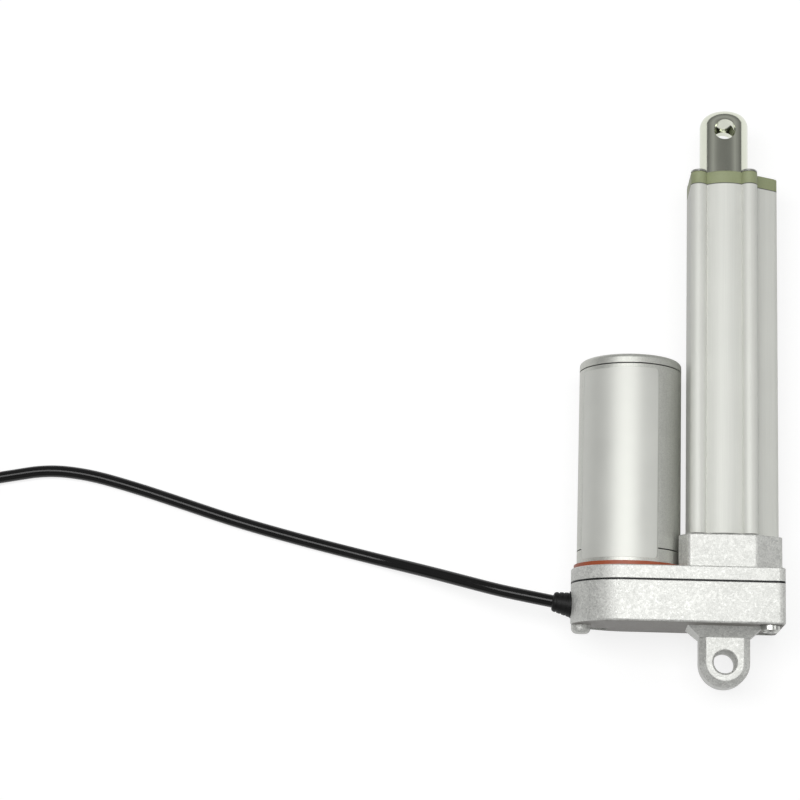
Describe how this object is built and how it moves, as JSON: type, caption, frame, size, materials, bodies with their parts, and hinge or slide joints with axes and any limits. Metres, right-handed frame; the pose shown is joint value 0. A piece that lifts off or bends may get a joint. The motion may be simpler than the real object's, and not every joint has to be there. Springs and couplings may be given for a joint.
{
  "type": "electric linear actuator",
  "caption": "Compact in-line rod actuator: geared motor beside an extruded tube, telescoping polished rod, an eye at each end and a free lead with bare cores.",
  "frame": {"origin": "middle of the hole in the rear eye", "axes": "+Y along the tube to the rod end, +Z along the rear eye's hole, +X away from the motor; the part lies on its back on a surface at z = -0.0213"},
  "size_m": [0.38, 0.2232, 0.0426],
  "materials": {
    "cast_alloy": "fine sparkle silver paint on die-cast alloy",
    "anodised_tube": "satin anodised extrusion",
    "motor_silver": "satin plated steel",
    "rod_steel": "polished",
    "screw_steel": "plated",
    "khaki_plastic": "moulded",
    "seal_rubber": "matte",
    "orange_rubber": "satin",
    "bronze": "machined",
    "gear_plastic": "moulded acetal",
    "bush_plastic": "moulded",
    "bearing_steel": "ground",
    "magnet": "sintered",
    "laminations": "varnished steel and copper",
    "copper": "turned",
    "carbon": "pressed",
    "board_green": "glass-fibre board",
    "switch_black": "moulded",
    "cord_black": "glossy sheath",
    "core_insulation": "sheath",
    "tinned_wire": "tinned copper"
  },
  "bodies": {
    "casing": {"gearbox_housing": "cast_alloy", "gearbox_cover": "cast_alloy", "gearbox_gasket": "seal_rubber", "housing_screws": "screw_steel", "outer_tube": "anodised_tube", "front_cap": "khaki_plastic", "front_cap_screws": "screw_steel", "rod_wiper": "seal_rubber", "front_bush": "bush_plastic", "bearing_outer_race": "bearing_steel", "bearing_balls": "bearing_steel", "gear_axles": "screw_steel", "motor_seal": "orange_rubber", "motor_front_plate": "motor_silver", "motor_can": "motor_silver", "motor_end_cap": "motor_silver", "motor_bushes": "bronze", "motor_magnets": "magnet", "brush_holder": "bush_plastic", "brushes": "carbon", "limit_switch_board": "board_green", "lower_limit_switch": "switch_black", "upper_limit_switch": "switch_black", "cable_gland": "seal_rubber", "cord": "cord_black", "cord_coil": "cord_black", "cord_cores": "core_insulation", "core_tips": "tinned_wire"},
    "rod": {"rod_tube": "rod_steel", "lead_nut": "bronze", "guide_shoe": "bush_plastic"},
    "screw": {"lead_screw": "screw_steel", "final_gear": "gear_plastic", "bearing_inner_race": "bearing_steel"},
    "gear_one": {"first_gear": "gear_plastic"},
    "gear_two": {"second_gear": "gear_plastic"},
    "rotor": {"rotor_shaft": "screw_steel", "rotor_core": "laminations", "commutator": "copper", "motor_pinion": "bronze"},
    "plunger_low": {"lower_switch_plunger": "gear_plastic"},
    "plunger_high": {"upper_switch_plunger": "gear_plastic"}
  },
  "joints": [
    {"name": "motor_spin", "type": "hinge", "parent": "casing", "child": "rotor", "pos_m": [-0.03526, 0, 0], "axis": [0, 1, 0], "range_deg": [0, 256001]},
    {"name": "gear_one_spin", "type": "hinge", "parent": "casing", "child": "gear_one", "pos_m": [-0.02383, 0, 0.0066], "axis": [0, 1, 0], "range_deg": [-96001, 0]},
    {"name": "gear_two_spin", "type": "hinge", "parent": "casing", "child": "gear_two", "pos_m": [-0.01419, 0, -0.00242], "axis": [0, 1, 0], "range_deg": [0, 36001]},
    {"name": "screw_spin", "type": "hinge", "parent": "casing", "child": "screw", "pos_m": [0, 0, 0], "axis": [0, 1, 0], "range_deg": [-12001, 0]},
    {"name": "rod_slide", "type": "slide", "parent": "casing", "child": "rod", "axis": [0, 1, 0], "range_m": [0, 0.1]},
    {"name": "lower_switch_press", "type": "slide", "parent": "casing", "child": "plunger_low", "axis": [1, 0, 0], "range_m": [0, 0.0006], "stiffness_N_per_m": 60},
    {"name": "upper_switch_press", "type": "slide", "parent": "casing", "child": "plunger_high", "axis": [1, 0, 0], "range_m": [0, 0.0006], "stiffness_N_per_m": 60}
  ],
  "couplings": [
    {"joint": "motor_spin", "follows": "rod_slide", "rad_per_m": 44680},
    {"joint": "gear_one_spin", "follows": "rod_slide", "rad_per_m": -16755},
    {"joint": "gear_two_spin", "follows": "rod_slide", "rad_per_m": 6283.2},
    {"joint": "screw_spin", "follows": "rod_slide", "rad_per_m": -2094.4}
  ]
}
